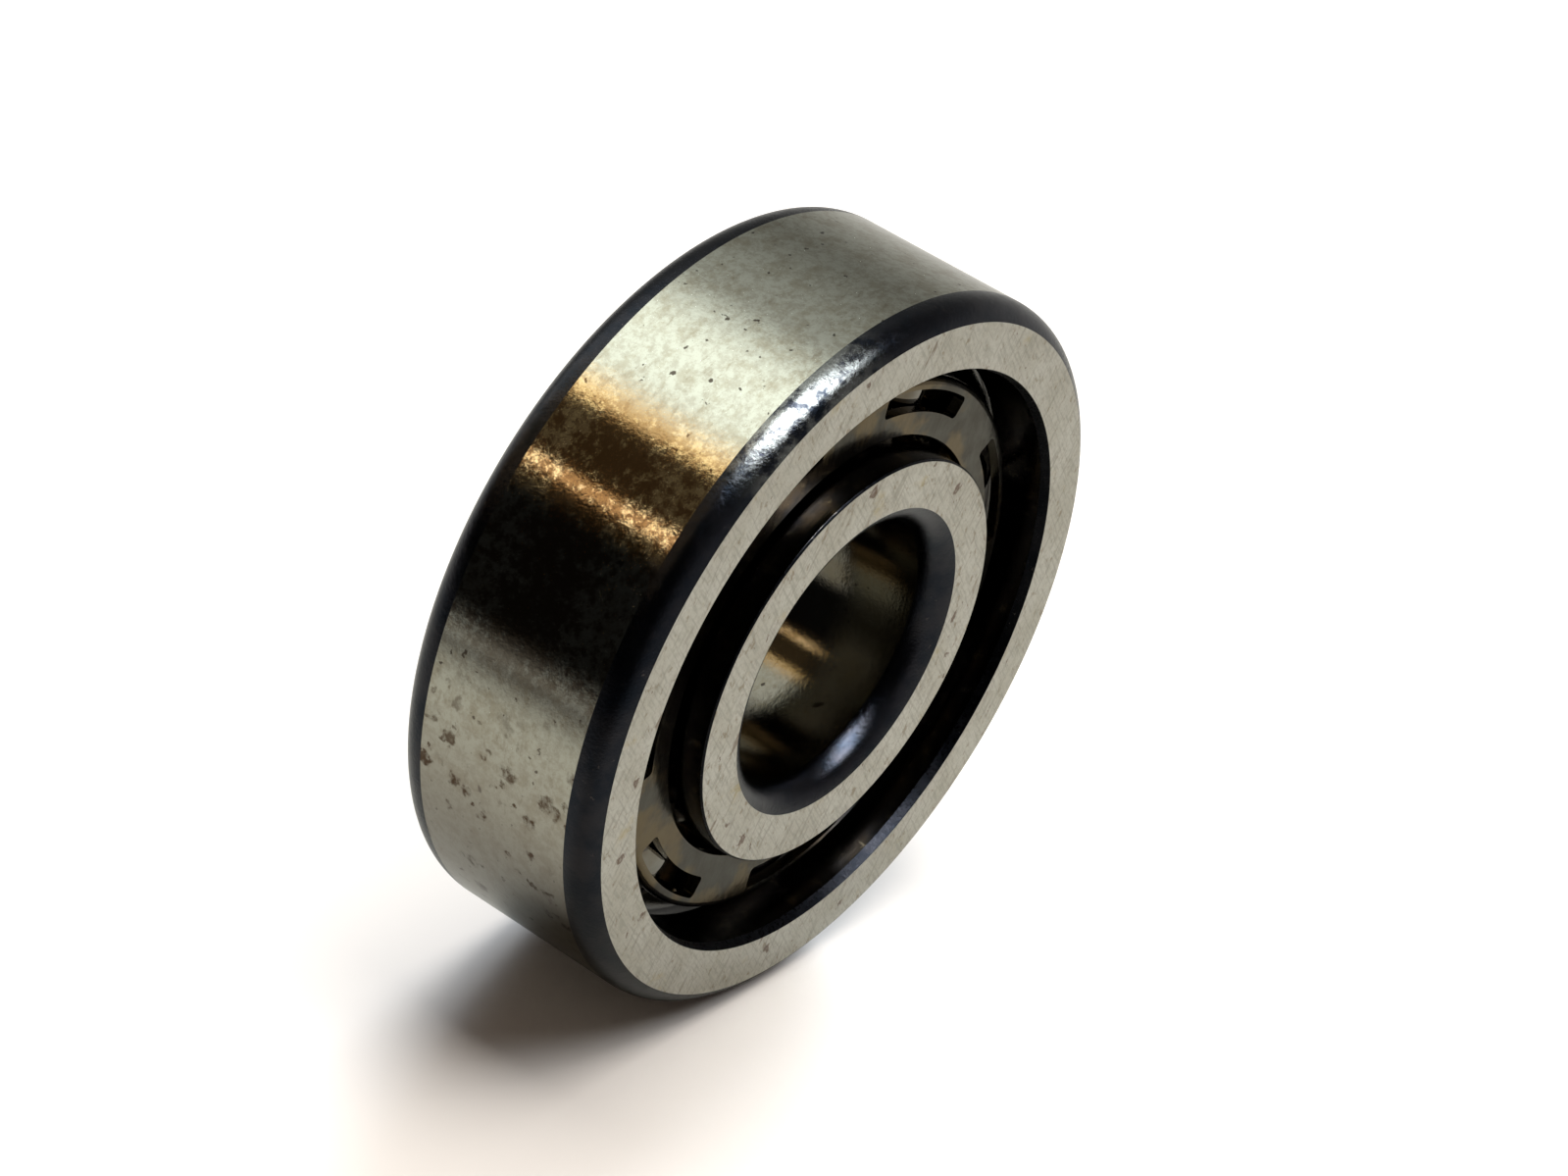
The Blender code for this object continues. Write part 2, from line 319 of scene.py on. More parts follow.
def window_block(bm):
    """A rounded block at +X that cuts one ball's window through the skirt."""
    depth = WINDOW_CUT_END - WINDOW_CUT_START
    size = Matrix.Diagonal((depth, 2 * WINDOW_HALF_LENGTH, 2 * WINDOW_HALF_WIDTH, 1.0))
    place = Matrix.Translation((WINDOW_CUT_START + depth / 2, 0.0, 0.0))
    cube = bmesh.ops.create_cube(bm, size=1.0, matrix=place @ size)
    along_x = [
        edge
        for edge in {edge for vert in cube["verts"] for edge in vert.link_edges}
        if abs(edge.verts[0].co.x - edge.verts[1].co.x) > depth / 2
    ]
    round_edges(bm, along_x, WINDOW_CORNER, WINDOW_CORNER_STEPS)


def cut(target, name, block_maker, angles):
    """Cuts a copy of a block out of an object at each angle round the axis."""
    bm = bmesh.new()
    for angle in angles:
        one = bmesh.new()
        block_maker(one)
        bmesh.ops.transform(one, matrix=Matrix.Rotation(-angle, 4, "Y"), verts=one.verts)
        piece = bpy.data.meshes.new("piece")
        one.to_mesh(piece)
        one.free()
        bm.from_mesh(piece)
        bpy.data.meshes.remove(piece)
    bmesh.ops.recalc_face_normals(bm, faces=bm.faces)
    mesh = bpy.data.meshes.new(name)
    bm.to_mesh(mesh)
    bm.free()
    cutter = bpy.data.objects.new(name, mesh)
    bpy.context.scene.collection.objects.link(cutter)
    modifier = target.modifiers.new(name, "BOOLEAN")
    modifier.operation = "DIFFERENCE"
    modifier.solver = "EXACT"
    modifier.object = cutter
    return cutter


def with_modifiers_applied(obj):
    """The object's mesh once its modifiers have acted."""
    graph = bpy.context.evaluated_depsgraph_get()
    return bpy.data.meshes.new_from_object(obj.evaluated_get(graph), depsgraph=graph)


def cage_mesh(angles):
    """The pressed cage, its sheet's edges a little rounded, with its slots and windows cut out."""
    blank = bpy.data.objects.new("blank", turned_mesh("blank", rounded(cage_outline()), CAGE_STEPS))
    bpy.context.scene.collection.objects.link(blank)
    cutters = [cut(blank, "slots", slot_block, angles), cut(blank, "windows", window_block, angles)]
    mesh = with_modifiers_applied(blank)
    for obj in [blank, *cutters]:
        bpy.data.objects.remove(obj)
    mesh.name = "cage_sheet"
    mesh.shade_smooth()
    mesh.set_sharp_from_angle(angle=CAGE_SHARP_ANGLE)
    return mesh


def ball_mesh(centre):
    """A finely divided ball at its place."""
    bm = bmesh.new()
    bmesh.ops.create_icosphere(bm, subdivisions=BALL_DIVISIONS, radius=BALL_RADIUS)
    bmesh.ops.translate(bm, vec=centre, verts=bm.verts)
    mesh = bpy.data.meshes.new("ball")
    bm.to_mesh(mesh)
    bm.free()
    mesh.shade_smooth()
    return mesh


# ---------------------------------------------------------------- materials

class Graph:
    """Short ways to add nodes to a material or world. A value is a number, a colour or a node's output."""

    def __init__(self, owner):
        owner.use_nodes = True
        self.tree = owner.node_tree
        self.tree.nodes.clear()

    def add(self, kind, values=None, **settings):
        node = self.tree.nodes.new(kind)
        for name, value in settings.items():
            setattr(node, name, value)
        for name, value in (values or {}).items():
            self.put(value, node.inputs[name])
        return node

    def put(self, value, socket):
        if isinstance(value, bpy.types.NodeSocket):
            self.tree.links.new(value, socket)
        else:
            socket.default_value = value

    def math(self, operation, a, b=0.0, c=0.0):
        return self.add("ShaderNodeMath", {0: a, 1: b, 2: c}, operation=operation).outputs[0]

    def product(self, first, *others):
        for other in others:
            first = self.math("MULTIPLY", first, other)
        return first

    def scaled(self, vector, scale):
        node = self.add("ShaderNodeVectorMath", {0: vector, 1: scale}, operation="MULTIPLY")
        return node.outputs[0]

    def turned(self, vector, angle):
        values = {"Vector": vector, "Angle": angle}
        return self.add("ShaderNodeVectorRotate", values, rotation_type="Y_AXIS").outputs[0]

    def shifted(self, vector, offset):
        node = self.add("ShaderNodeVectorMath", {0: vector, 1: offset}, operation="ADD")
        return node.outputs[0]

    def noise(self, vector, scale=1.0, detail=2.0, roughness=0.5):
        values = {"Vector": vector, "Scale": scale, "Detail": detail, "Roughness": roughness}
        return self.add("ShaderNodeTexNoise", values).outputs["Fac"]

    def wobbled(self, place, amount):
        """The place, shifted by a soft random amount."""
        noise = self.add("ShaderNodeTexNoise", {"Vector": place, "Scale": 3.0, "Detail": 3.0})
        shift = self.shifted(noise.outputs["Color"], (-0.5, -0.5, -0.5))
        shift = self.scaled(shift, (amount, amount, amount))
        return self.shifted(place, shift)

    def spots(self, place, scale, share, size):
        """Irregular round spots, one in a share of the cells of a cell pattern, paler in the middle."""
        cells = self.add("ShaderNodeTexVoronoi", {"Vector": self.wobbled(place, 0.7), "Scale": scale})
        near = cells.outputs["Distance"]
        rim = self.band(near, 0.6 * size, size, 1.0, 0.0)
        middle = self.band(near, 0.0, 0.5 * size, 0.45, 1.0)
        chance = self.add("ShaderNodeSeparateColor", {0: cells.outputs["Color"]}).outputs[0]
        return self.product(rim, middle, self.math("LESS_THAN", chance, share))

    def band(self, value, low, high, to_low=0.0, to_high=1.0):
        values = {"Value": value, "From Min": low, "From Max": high, "To Min": to_low, "To Max": to_high}
        node = self.add("ShaderNodeMapRange", values, interpolation_type="SMOOTHSTEP")
        return node.outputs["Result"]

    def mix(self, factor, a, b):
        node = self.add("ShaderNodeMix", data_type="RGBA")
        self.put(factor, node.inputs[0])
        self.put(a, node.inputs[6])
        self.put(b, node.inputs[7])
        return node.outputs[2]

    def stain(self, base, pattern, low, high, most, tone):
        """Lays a tone over a base, more of it as a pattern goes from low to high, up to the most share."""
        return self.mix(self.band(pattern, low, high, 0.0, most), base, colour(*tone))

    def bump(self, height, strength, distance, normal=None):
        values = {"Height": height, "Strength": strength, "Distance": distance}
        if normal is not None:
            values["Normal"] = normal
        return self.add("ShaderNodeBump", values).outputs["Normal"]


def colour(red, green, blue):
    return (red, green, blue, 1.0)


def parts_of(g, vector):
    """The X, Y and Z of a vector, by name."""
    return g.add("ShaderNodeSeparateXYZ", {0: vector}).outputs


def metal(name):
    """A new material's graph, its place in millimetres and its metallic shader."""
    material = bpy.data.materials.new(name)
    graph = Graph(material)
    place = graph.add("ShaderNodeTexCoord").outputs["Object"]
    place = graph.scaled(place, (1 / MM, 1 / MM, 1 / MM))
    shader = graph.add("ShaderNodeBsdfPrincipled", {"Metallic": 1.0})
    output = graph.add("ShaderNodeOutputMaterial")
    graph.tree.links.new(shader.outputs[0], output.inputs[0])
    return material, graph, place, shader


MARK_ANGLE = math.radians(38.0)
CROSS_MARK_ANGLE = math.radians(-24.0)
SCRATCH_ANGLE = math.radians(62.0)
MARK_STRETCH = (5.0, 1.0, 0.45)
SCRATCH_STRETCH = (0.30, 1.0, 1.5)
# Shifts that take a second pattern from another part of the same noise.
ELSEWHERE = (17.0, 5.0, 3.0)
NEARBY = (3.0, 7.0, 1.0)


def ground_face_steel():
    """Side faces: satin, with fine grinding marks that cross, faint stains and a few brown flecks."""
    material, g, place, shader = metal("ground_face_steel")
    marks = g.scaled(g.turned(place, MARK_ANGLE), MARK_STRETCH)
    marks = g.noise(marks, scale=1.6, detail=4.0, roughness=0.65)
    crossing = g.scaled(g.turned(place, CROSS_MARK_ANGLE), MARK_STRETCH)
    crossing = g.noise(crossing, detail=4.0, roughness=0.65)
    grain = g.noise(place, scale=5.0, detail=5.0, roughness=0.75)
    cloud = g.noise(place, scale=0.45, detail=6.0, roughness=0.62)
    blotch = g.noise(g.scaled(place, (2.6, 1.0, 1.5)), detail=6.0, roughness=0.68)
    yellow = g.noise(g.shifted(place, ELSEWHERE), scale=0.5, detail=4.0, roughness=0.6)
    fleck = g.noise(g.scaled(place, (2.2, 2.2, 1.3)), detail=5.0, roughness=0.65)
    scratch = g.scaled(g.turned(place, SCRATCH_ANGLE), SCRATCH_STRETCH)
    base = g.stain(colour(0.575, 0.555, 0.50), cloud, 0.35, 0.68, 1.0, (0.51, 0.485, 0.42))
    base = g.stain(base, grain, 0.45, 0.62, 0.35, (0.34, 0.32, 0.27))
    base = g.stain(base, marks, 0.50, 0.62, 0.55, (0.36, 0.34, 0.29))
    base = g.stain(base, crossing, 0.52, 0.64, 0.62, (0.32, 0.29, 0.24))
    base = g.stain(base, blotch, 0.55, 0.66, 0.72, (0.26, 0.20, 0.13))
    base = g.stain(base, yellow, 0.60, 0.72, 0.45, (0.44, 0.34, 0.14))
    base = g.stain(base, fleck, 0.66, 0.70, 0.80, (0.12, 0.06, 0.035))
    base = g.mix(g.math("MULTIPLY", g.spots(place, 0.8, 0.14, 0.24), 0.85), base, colour(0.13, 0.07, 0.045))
    base = g.mix(g.math("MULTIPLY", g.spots(scratch, 0.8, 0.16, 0.20), 0.75), base, colour(0.17, 0.11, 0.07))
    rough = g.math("ADD", g.band(marks, 0.3, 0.7, 0.28, 0.36), g.band(cloud, 0.3, 0.7, 0.0, 0.05))
    g.put(base, shader.inputs["Base Color"])
    g.put(rough, shader.inputs["Roughness"])
    normal = g.bump(marks, 0.40, 0.03 * MM)
    g.put(g.bump(grain, 0.30, 0.03 * MM, normal), shader.inputs["Normal"])
    return material


def stained(g, place, base, cover):
    """A ground surface's fine mottling, cloudy stains, brown patches and dark pits, over a base colour."""
    mottle = g.noise(place, scale=2.6, detail=6.0, roughness=0.75)
    cloud = g.noise(place, scale=0.9, detail=8.0, roughness=0.75)
    streaky = g.noise(g.scaled(place, (1.1, 2.6, 1.1)), detail=6.0, roughness=0.7)
    pit = g.noise(place, scale=2.3, detail=3.0, roughness=0.5)
    base = g.stain(base, mottle, 0.43, 0.62, cover, (0.34, 0.31, 0.24))
    base = g.stain(base, cloud, 0.47, 0.62, cover, (0.33, 0.29, 0.20))
    base = g.stain(base, streaky, 0.55, 0.68, cover, (0.27, 0.23, 0.16))
    return g.stain(base, pit, 0.68, 0.72, 0.9, (0.05, 0.035, 0.025))


# Places on the outer ring, in millimetres: where each mark starts to show, and where it shows fully.
PATCH_X = (-8.5, -11.5)
PATCH_Z = (1.0, 5.0)
PATCH_MIDDLE_Y = 0.4
PATCH_MIDDLE_HALF = (2.4, 0.6)
DARKER_LOW_Z = (6.0, -6.0)
RUST_Z = (4.0, -3.0)
RUBBED_HIGHLIGHT_NEAR_X = (-2.0, -5.0)
RUBBED_HIGHLIGHT_FAR_X = (-11.0, -8.5)
RUBBED_HIGHLIGHT_Z = (9.0, 12.0)


def ground_outside_steel():
    """The ground outside: smooth, with marks round the ring, cloudy stains and small dark spots."""
    material, g, place, shader = metal("ground_outside_steel")
    marks = g.noise(g.scaled(place, (0.5, 12.0, 0.5)), detail=3.0, roughness=0.6)
    grain = g.noise(place, scale=4.5, detail=4.0, roughness=0.65)
    cloud = g.noise(place, scale=1.2, detail=6.0, roughness=0.7)
    base = stained(g, place, colour(0.57, 0.58, 0.49), 0.50)
    parts = parts_of(g, place)
    # a browner patch high on the -X side, worst in the middle of the width
    patch = g.product(g.band(parts["X"], *PATCH_X), g.band(parts["Z"], *PATCH_Z))
    from_middle = g.math("ABSOLUTE", g.math("SUBTRACT", parts["Y"], PATCH_MIDDLE_Y))
    middle = g.math("MULTIPLY", g.band(from_middle, *PATCH_MIDDLE_HALF), 0.10)
    brown = g.math("ADD", g.noise(place, scale=2.0, detail=7.0, roughness=0.78), middle)
    brown = g.band(brown, 0.44, 0.58, 0.2, 0.95)
    base = g.mix(g.product(patch, brown), base, colour(0.15, 0.105, 0.065))
    # the lower part is darker towards the bottom, and spotted with rust
    base = g.stain(base, parts["Z"], *DARKER_LOW_Z, 0.70, (0.23, 0.20, 0.17))
    large = g.spots(place, 0.75, 0.42, 0.34)
    small = g.spots(g.shifted(place, NEARBY), 1.7, 0.30, 0.36)
    uneven = g.band(cloud, 0.40, 0.56, 0.15, 1.0)
    rust = g.product(g.math("MAXIMUM", large, small), uneven, g.band(parts["Z"], *RUST_Z))
    base = g.mix(rust, base, colour(0.075, 0.045, 0.025))
    rough = g.math("ADD", g.band(cloud, 0.35, 0.7, 0.055, 0.085), g.band(marks, 0.3, 0.7, -0.01, 0.01))
    rough = g.math("ADD", rough, g.band(grain, 0.5, 0.7, 0.0, 0.05))
    g.put(base, shader.inputs["Base Color"])
    g.put(rough, shader.inputs["Roughness"])
    normal = g.bump(marks, 0.08, 0.01 * MM)
    normal = g.bump(cloud, 0.16, 0.03 * MM, normal)
    g.put(g.bump(grain, 0.22, 0.02 * MM, normal), shader.inputs["Normal"])
    return material


BORE_PAINTED_SHADE = 0.62


def ground_bore_steel():
    """The ground bore: browner and more granular than the outside, and darkened all over as painted shade
    inside the hole.
    """
    material, g, place, shader = metal("ground_bore_steel")
    marks = g.noise(g.scaled(place, (0.6, 14.0, 0.6)), detail=3.0, roughness=0.6)
    grain = g.noise(place, scale=5.0, detail=4.0, roughness=0.7)
    cloud = g.noise(place, scale=1.4, detail=6.0, roughness=0.7)
    base = stained(g, place, colour(0.40, 0.38, 0.31), 0.7)
    # mixed towards near black: painted shade inside the bore
    base = g.mix(BORE_PAINTED_SHADE, base, colour(0.02, 0.018, 0.015))
    rough = g.math("ADD", g.band(cloud, 0.35, 0.7, 0.05, 0.08), g.band(marks, 0.3, 0.7, -0.01, 0.01))
    g.put(base, shader.inputs["Base Color"])
    g.put(rough, shader.inputs["Roughness"])
    normal = g.bump(marks, 0.10, 0.01 * MM)
    g.put(g.bump(grain, 0.30, 0.02 * MM, normal), shader.inputs["Normal"])
    return material


def scaled_metal(name, dark, light, smooth, coarse):
    """Metal under blue-black heat-treatment scale: satin, cloudy, and worn through in small places."""
    material, g, place, shader = metal(name)
    cloud = g.noise(place, scale=0.8, detail=5.0, roughness=0.6)
    grain = g.noise(place, scale=6.0, detail=5.0, roughness=0.7)
    worn = g.noise(place, scale=3.0, detail=5.0, roughness=0.68)
    base = g.stain(colour(*dark), cloud, 0.3, 0.7, 1.0, light)
    base = g.stain(base, worn, 0.64, 0.74, 0.5, (0.16, 0.14, 0.13))
    g.put(base, shader.inputs["Base Color"])
    g.put(g.band(grain, 0.3, 0.7, smooth, coarse), shader.inputs["Roughness"])
    normal = g.bump(grain, 0.40, 0.04 * MM)
    g.put(g.bump(cloud, 0.25, 0.08 * MM, normal), shader.inputs["Normal"])
    return material, g, place, shader, base


def corner_steel():
    """The unground corners of the outside and the bore, with a bright patch at the top on the -X side that
    is partly worn scale and partly a painted highlight.
    """
    dark, light = (0.016, 0.020, 0.027), (0.033, 0.033, 0.038)
    material, g, place, shader, base = scaled_metal("corner_steel", dark, light, 0.13, 0.22)
    parts = parts_of(g, place)
    # a bright patch where the lamp's highlight falls on the corner: painted highlight, partly worn scale
    beside = g.product(g.band(parts["X"], *RUBBED_HIGHLIGHT_NEAR_X), g.band(parts["X"], *RUBBED_HIGHLIGHT_FAR_X))
    front = g.math("LESS_THAN", parts["Y"], 0.0)
    patchy = g.band(g.noise(place, scale=1.6, detail=6.0, roughness=0.7), 0.38, 0.56)
    rubbed_highlight = g.product(beside, front, g.band(parts["Z"], *RUBBED_HIGHLIGHT_Z), patchy)
    g.put(g.mix(rubbed_highlight, base, colour(0.18, 0.185, 0.175)), shader.inputs["Base Color"])
    return material


def edge_break_steel():
    """The small broken edges at the recess: darker and rougher than the corners."""
    dark, light = (0.005, 0.006, 0.008), (0.012, 0.012, 0.014)
    return scaled_metal("edge_break_steel", dark, light, 0.24, 0.36)[0]


def land_steel():
    """Shoulders inside the bearing: oily turned steel, dark partly from its finish and partly as painted
    shade of the recess, worn bright in places.
    """
    material, g, place, shader = metal("land_steel")
    marks = g.noise(g.scaled(place, (0.6, 18.0, 0.6)), detail=3.0, roughness=0.6)
    cloud = g.noise(place, scale=0.9, detail=4.0, roughness=0.6)
    worn = g.noise(place, scale=1.5, detail=6.0, roughness=0.65)
    # near-black base: partly the turned finish, partly painted shade of the recess
    base = g.stain(colour(0.020, 0.020, 0.024), cloud, 0.3, 0.7, 1.0, (0.040, 0.035, 0.032))
    base = g.stain(base, worn, 0.56, 0.62, 0.8, (0.15, 0.14, 0.12))
    g.put(base, shader.inputs["Base Color"])
    g.put(g.band(marks, 0.3, 0.7, 0.12, 0.22), shader.inputs["Roughness"])
    g.put(g.bump(marks, 0.2, 0.02 * MM), shader.inputs["Normal"])
    return material


def raceway_steel():
    """Honed raceways: very smooth, with the finest of marks round the ring, darkened partly by a film of oil
    and partly as painted shade of the recess.
    """
    material, g, place, shader = metal("raceway_steel")
    marks = g.noise(g.scaled(place, (0.8, 30.0, 0.8)), detail=2.0, roughness=0.5)
    cloud = g.noise(place, scale=0.7, detail=3.0)
    # dark base: partly oil film, partly painted shade of the recess
    base = g.stain(colour(0.13, 0.125, 0.115), cloud, 0.3, 0.7, 1.0, (0.09, 0.08, 0.065))
    g.put(base, shader.inputs["Base Color"])
    g.put(g.band(marks, 0.3, 0.7, 0.07, 0.13), shader.inputs["Roughness"])
    g.put(g.bump(marks, 0.1, 0.01 * MM), shader.inputs["Normal"])
    return material


def cage_steel():
    """Pressed sheet, darkened as painted shade of the recess, with golden smudges that are partly oil stain
    and partly a painted sheen, and a slight ripple from the press.
    """
    material, g, place, shader = metal("cage_sheet_steel")
    ripple = g.noise(place, scale=0.9, detail=3.0, roughness=0.55)
    grain = g.noise(g.scaled(place, (6.0, 6.0, 1.5)), detail=3.0, roughness=0.6)
    oil = g.noise(place, scale=0.28, detail=4.0, roughness=0.6)
    # the very dark base is painted shade of the recess the cage sits in
    base = g.stain(colour(0.070, 0.066, 0.051), ripple, 0.3, 0.7, 1.0, (0.042, 0.035, 0.022))
    # golden smudges: partly oil stain, partly a painted sheen
    base = g.stain(base, oil, 0.45, 0.56, 0.8, (0.14, 0.10, 0.045))
    g.put(base, shader.inputs["Base Color"])
    g.put(g.band(grain, 0.3, 0.7, 0.13, 0.22), shader.inputs["Roughness"])
    normal = g.bump(ripple, 0.3, 0.06 * MM)
    g.put(g.bump(grain, 0.15, 0.02 * MM, normal), shader.inputs["Normal"])
    return material


def ball_steel():
    """Lapped balls: a mirror, darkened as painted shade of the recess and unevenly by a film of oil."""
    material, g, place, shader = metal("lapped_ball_steel")
    film = g.noise(place, scale=0.8, detail=3.0)
    # dark base: painted shade of the recess, uneven like an oil film
    base = g.stain(colour(0.22, 0.21, 0.18), film, 0.3, 0.7, 1.0, (0.14, 0.12, 0.09))
    g.put(base, shader.inputs["Base Color"])
    g.put(g.band(film, 0.3, 0.7, 0.04, 0.09), shader.inputs["Roughness"])
    return material


# ---------------------------------------------------------------- the bearing

def build_bearing():
    """Every piece of the bearing as a finer mesh in its CAD node's place."""
    inside = [corner_steel(), land_steel(), raceway_steel(), edge_break_steel()]
    face = ground_face_steel()
    outer_materials = [face, ground_outside_steel(), *inside]
    inner_materials = [face, ground_bore_steel(), *inside]
    low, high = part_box("outer_ring")
    outline = rounded(outer_ring_outline((high.y - low.y) / 2))
    mesh = turned_mesh("outer_ring_fine", outline, RING_STEPS)
    add_piece("outer_ring_fine", mesh, outer_materials, "outer_ring", "outer_ring")
    low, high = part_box("inner_ring")
    shift = (high.y + low.y) / 2
    outline = rounded(inner_ring_outline((high.y - low.y) / 2, shift))
    mesh = turned_mesh("inner_ring_fine", outline, RING_STEPS, shift)
    add_piece("inner_ring_fine", mesh, inner_materials, "inner_ring", "inner_ring")
    centres = {}
    for name in BALLS:
        low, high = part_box(name)
        centres[name] = (low + high) / 2
    mesh = cage_mesh([math.atan2(centre.z, centre.x) for centre in centres.values()])
    add_piece("cage_sheet", mesh, [cage_steel()], "cage", "cage")
    polished = ball_steel()
    for name, centre in centres.items():
        add_piece(name + "_lapped", ball_mesh(centre), [polished], name, name)


# ---------------------------------------------------------------- stage

FLOOR_HEIGHT = -OUTSIDE_RADIUS
NEAR_FLOOR_RADIUS = 0.085
FLOOR_RADIUS = 0.8


def floor_piece(name, inside, outside, material):
    """A flat ring of floor, or a disc if its inside radius is nothing."""
    bm = bmesh.new()
    rim = bmesh.ops.create_circle(bm, radius=outside, segments=FLOOR_STEPS)["verts"]
    if inside > 0:
        bmesh.ops.create_circle(bm, radius=inside, segments=FLOOR_STEPS)
        bmesh.ops.bridge_loops(bm, edges=bm.edges[:])
    else:
        bm.faces.new(rim)
    bmesh.ops.translate(bm, vec=(0, 0, FLOOR_HEIGHT), verts=bm.verts)
    bmesh.ops.recalc_face_normals(bm, faces=bm.faces)
    mesh = bpy.data.meshes.new(name)
    bm.to_mesh(mesh)
    bm.free()
    mesh.materials.append(material)
    obj = bpy.data.objects.new(name, mesh)
    bpy.context.scene.collection.objects.link(obj)
    return obj


FLOOR_COLOUR = (0.88, 0.87, 0.86, 1.0)
FLOOR_IN_STEEL = (0.44, 0.445, 0.42, 1.0)
FLOOR_FAR_IN_STEEL = (0.10, 0.10, 0.10, 1.0)
IN_STEEL_EDGE = (-0.078, -0.034)


def build_floor():
    """A plain white floor, which glows far out. The steel shows it greyer, and doesn't show its far part."""
    material = bpy.data.materials.new("white_floor")
    g = Graph(material)
    glossy = g.add("ShaderNodeLightPath").outputs["Is Glossy Ray"]
    place = g.add("ShaderNodeTexCoord").outputs["Object"]
    near = g.band(parts_of(g, place)["X"], *IN_STEEL_EDGE)
    in_steel = g.mix(near, FLOOR_FAR_IN_STEEL, FLOOR_IN_STEEL)
    seen = g.mix(glossy, FLOOR_COLOUR, in_steel)
    shader = g.add("ShaderNodeBsdfDiffuse", {"Color": seen})
    output = g.add("ShaderNodeOutputMaterial")
    distance = g.add("ShaderNodeVectorMath", {0: place}, operation="LENGTH").outputs["Value"]
    glow = g.band(distance, 2 * NEAR_FLOOR_RADIUS, FLOOR_RADIUS / 2)
    white = g.add("ShaderNodeEmission", {"Strength": glow})
    both = g.add("ShaderNodeAddShader", {0: shader.outputs[0], 1: white.outputs[0]})
    g.tree.links.new(both.outputs[0], output.inputs[0])
    floor_piece("floor_near", 0.0, NEAR_FLOOR_RADIUS, material)
    far = floor_piece("floor_far", NEAR_FLOOR_RADIUS, FLOOR_RADIUS, material)
    far.visible_glossy = False


LIGHT_DISTANCE = 2.0
LIGHTS = [
    # degrees round Z from +X, degrees up, breadth, height, power, colour
    (0.0, 84.0, 1.5, 1.3, 42.0, (1.0, 0.93, 0.85)),
    (-66.0, 58.0, 0.8, 0.8, 10.0, (1.0, 0.98, 0.95)),
    (20.0, 13.0, 0.9, 0.7, 88.0, (0.93, 1.0, 1.06)),
]


def build_lights():
    """Soft light from straight above, some from the front, and some from low on the +X side."""
    for turn, height, breadth, tall, power, tint in LIGHTS:
        light = bpy.data.lights.new("soft_light", "AREA")
        light.shape = "RECTANGLE"
        light.size = breadth
        light.size_y = tall
        light.energy = power
        light.color = tint
        obj = bpy.data.objects.new("soft_light", light)
        turn, height = math.radians(turn), math.radians(height)
        level = math.cos(height)
        away = Vector((level * math.cos(turn), level * math.sin(turn), math.sin(height)))
        obj.location = away * LIGHT_DISTANCE
        obj.rotation_mode = "QUATERNION"
        obj.rotation_quaternion = away.to_track_quat("Z", "Y")
        obj.visible_glossy = False
        obj.visible_camera = False
        bpy.context.scene.collection.objects.link(obj)


# Angles are in degrees round the Y axis, from +X towards +Z.
ROOM_SEAM = -45.0
PALE_WALL = (0.74, 0.72, 0.68, 1.0)
BACK_ROOM = [
    # each next surface of the room: where it starts to show, where it shows fully, and its tone
    (-40.0, 30.0, (0.20, 0.20, 0.19, 1.0)),  # the wall's shaded top
    (24.0, 78.0, (0.54, 0.55, 0.53, 1.0)),  # ceiling
    (62.0, 88.0, (1.66, 1.72, 1.64, 1.0)),  # wide light panel overhead
    (104.0, 118.0, (2.50, 1.75, 0.85, 1.0)),  # its golden edge
    (116.6, 118.4, (0.12, 0.085, 0.045, 1.0)),  # brown curtain
    (143.0, 150.0, (0.010, 0.010, 0.010, 1.0)),  # black curtain
    (186.0, 206.0, PALE_WALL),
]
LAMP_ANGLE = 140.1
LAMP_HALF_WIDTH = 0.35
LAMP_SOFT_EDGE = 0.9
LAMP_TONE = (6.6, 4.7, 2.7, 1.0)


def back_room(g, parts):
    """Tone of the room on the +Y side, which changes mostly with the angle round the Y axis."""
    turn = g.math("DIVIDE", g.math("ARCTAN2", parts["Z"], parts["X"]), math.tau)
    turn = g.math("FRACT", g.math("ADD", turn, 1 - ROOM_SEAM / 360))
    turn = g.math("MULTIPLY_ADD", turn, 360.0, ROOM_SEAM)
    tone = PALE_WALL
    for start, end, next_tone in BACK_ROOM:
        tone = g.mix(g.band(turn, start, end), tone, next_tone)
    aside = g.math("ABSOLUTE", g.math("SUBTRACT", turn, LAMP_ANGLE))
    lamp = g.band(aside, LAMP_HALF_WIDTH, LAMP_HALF_WIDTH + LAMP_SOFT_EDGE, 1.0, 0.0)
    return g.mix(lamp, tone, LAMP_TONE)


FRONT_TONE = (1.0, 0.98, 0.96, 1.0)
FRONT_DARK_X = (-0.85, -0.25)
FRONT_LOW_Z = (0.05, 0.5)
OVERHEAD_TONE = (26.0, 27.5, 29.0, 1.0)
OVERHEAD_HALF_WIDTH = (0.10, 0.22)
OVERHEAD_START = (-1.05, -0.8)
OVERHEAD_BEND = (-1.1, -0.1, 0.36, -0.10)
LEAST_RISE = 0.05


